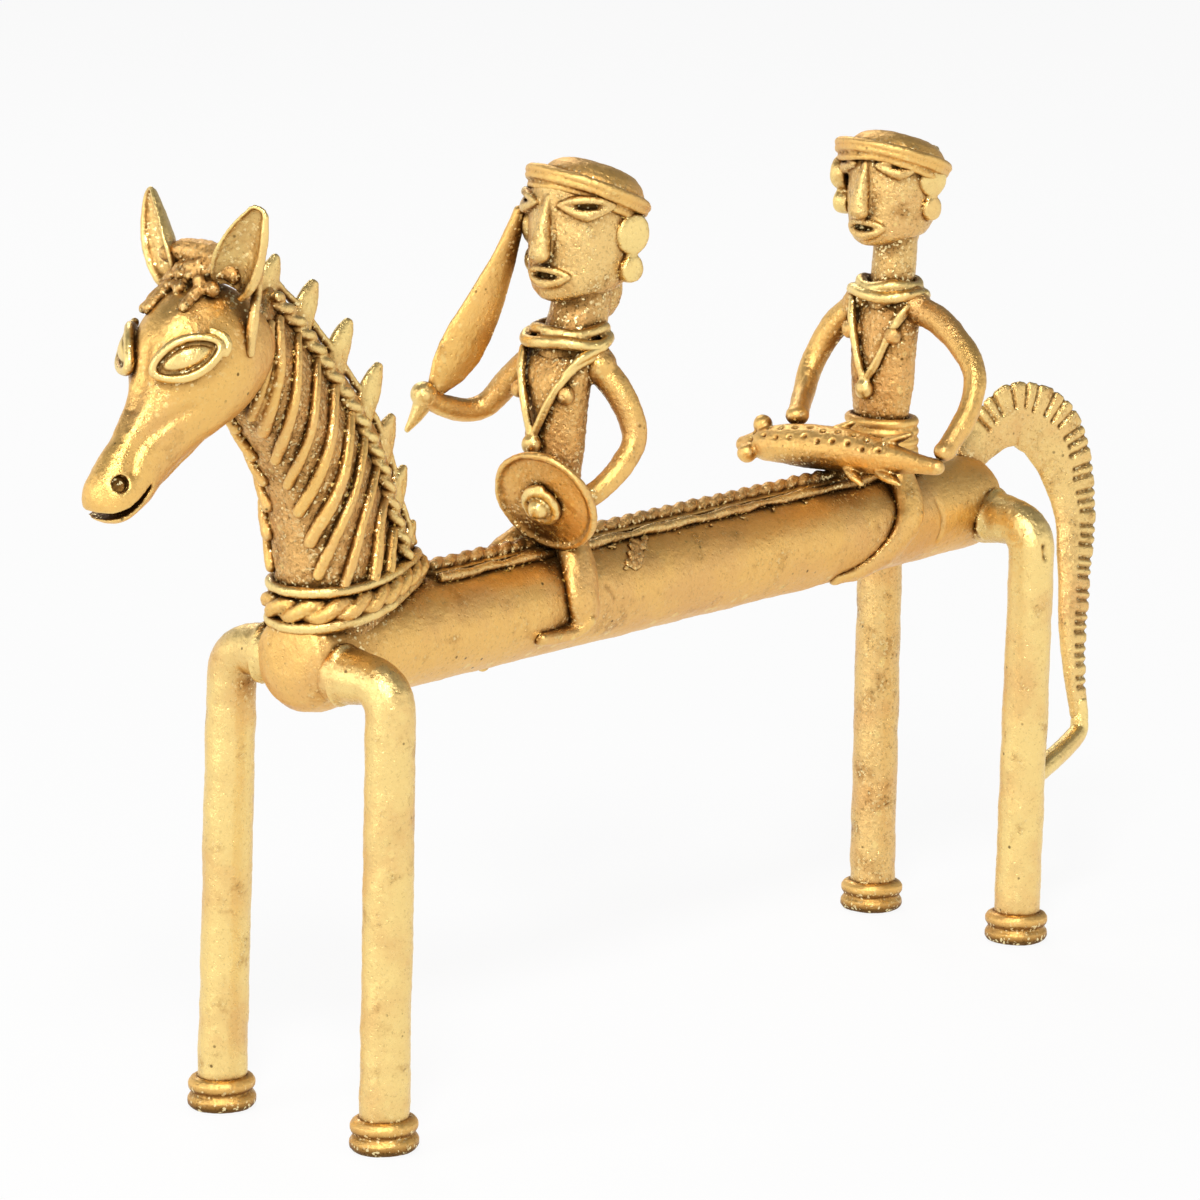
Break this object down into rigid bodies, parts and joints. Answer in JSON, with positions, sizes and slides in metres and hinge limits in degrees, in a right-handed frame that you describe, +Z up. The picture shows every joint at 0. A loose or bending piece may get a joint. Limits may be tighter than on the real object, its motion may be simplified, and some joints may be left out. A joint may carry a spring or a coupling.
{
  "type": "brass horse and rider figurine",
  "caption": "Cast brass horse with a long tubular body and rod legs, carrying riders with a raised blade, a round shield and a fish.",
  "frame": {"origin": "under the middle of the whole figurine, on the plane that the hooves stand on", "axes": "+Z up; the horse faces -X; its left side is -Y"},
  "size_m": [0.2678, 0.0522, 0.1671],
  "materials": {
    "brass": "cast skin, satin, with small pits",
    "brass_bright": "worn bright on the raised threads",
    "brass_dark": "brown patina in the hollows"
  },
  "bodies": {
    "root": {"horse_body": "brass", "foreleg_left": "brass_bright", "hoof_front_left": "brass_dark", "foreleg_right": "brass_bright", "hoof_front_right": "brass_dark", "hindleg_left": "brass_bright", "hoof_rear_left": "brass_dark", "hindleg_right": "brass_bright", "hoof_rear_right": "brass_dark", "horse_head": "brass", "neck": "brass", "mane_crest": "brass_bright", "mane_braid_left": "brass_bright", "mane_braid_right": "brass_bright", "collar_upper_ring": "brass_bright", "collar_lower_ring": "brass_bright", "collar_braid": "brass_dark", "mane_ribs_left": "brass", "mane_ribs_right": "brass", "horse_eye_left": "brass_bright", "horse_eye_right": "brass_bright", "horse_ear_left": "brass_bright", "horse_ear_right": "brass_bright", "forelock": "brass_dark", "saddle_strip": "brass", "saddle_cord_left": "brass_bright", "saddle_cord_right": "brass_bright", "saddle_beading": "brass_dark", "tail": "brass_bright", "tail_tip": "brass_bright", "front_rider_torso": "brass", "front_rider_cap": "brass_dark", "front_rider_head": "brass_bright", "front_rider_ear_left": "brass_bright", "front_rider_ear_right": "brass_bright", "front_rider_neck_rings": "brass_bright", "front_rider_garland": "brass_bright", "rear_rider_torso": "brass", "rear_rider_cap": "brass_dark", "rear_rider_head": "brass_bright", "rear_rider_ear_left": "brass_bright", "rear_rider_ear_right": "brass_bright", "rear_rider_neck_rings": "brass_bright", "rear_rider_garland": "brass_bright", "shield": "brass", "shield_boss": "brass_bright", "blade": "brass", "blade_pommel": "brass_bright", "fish": "brass", "waist_band": "brass_dark", "front_rider_arm_left": "brass", "front_rider_leg_left": "brass", "front_rider_arm_right": "brass", "front_rider_leg_right": "brass", "rear_rider_arm_left": "brass", "rear_rider_leg_left": "brass", "rear_rider_arm_right": "brass", "rear_rider_leg_right": "brass"}
  },
  "joints": []
}
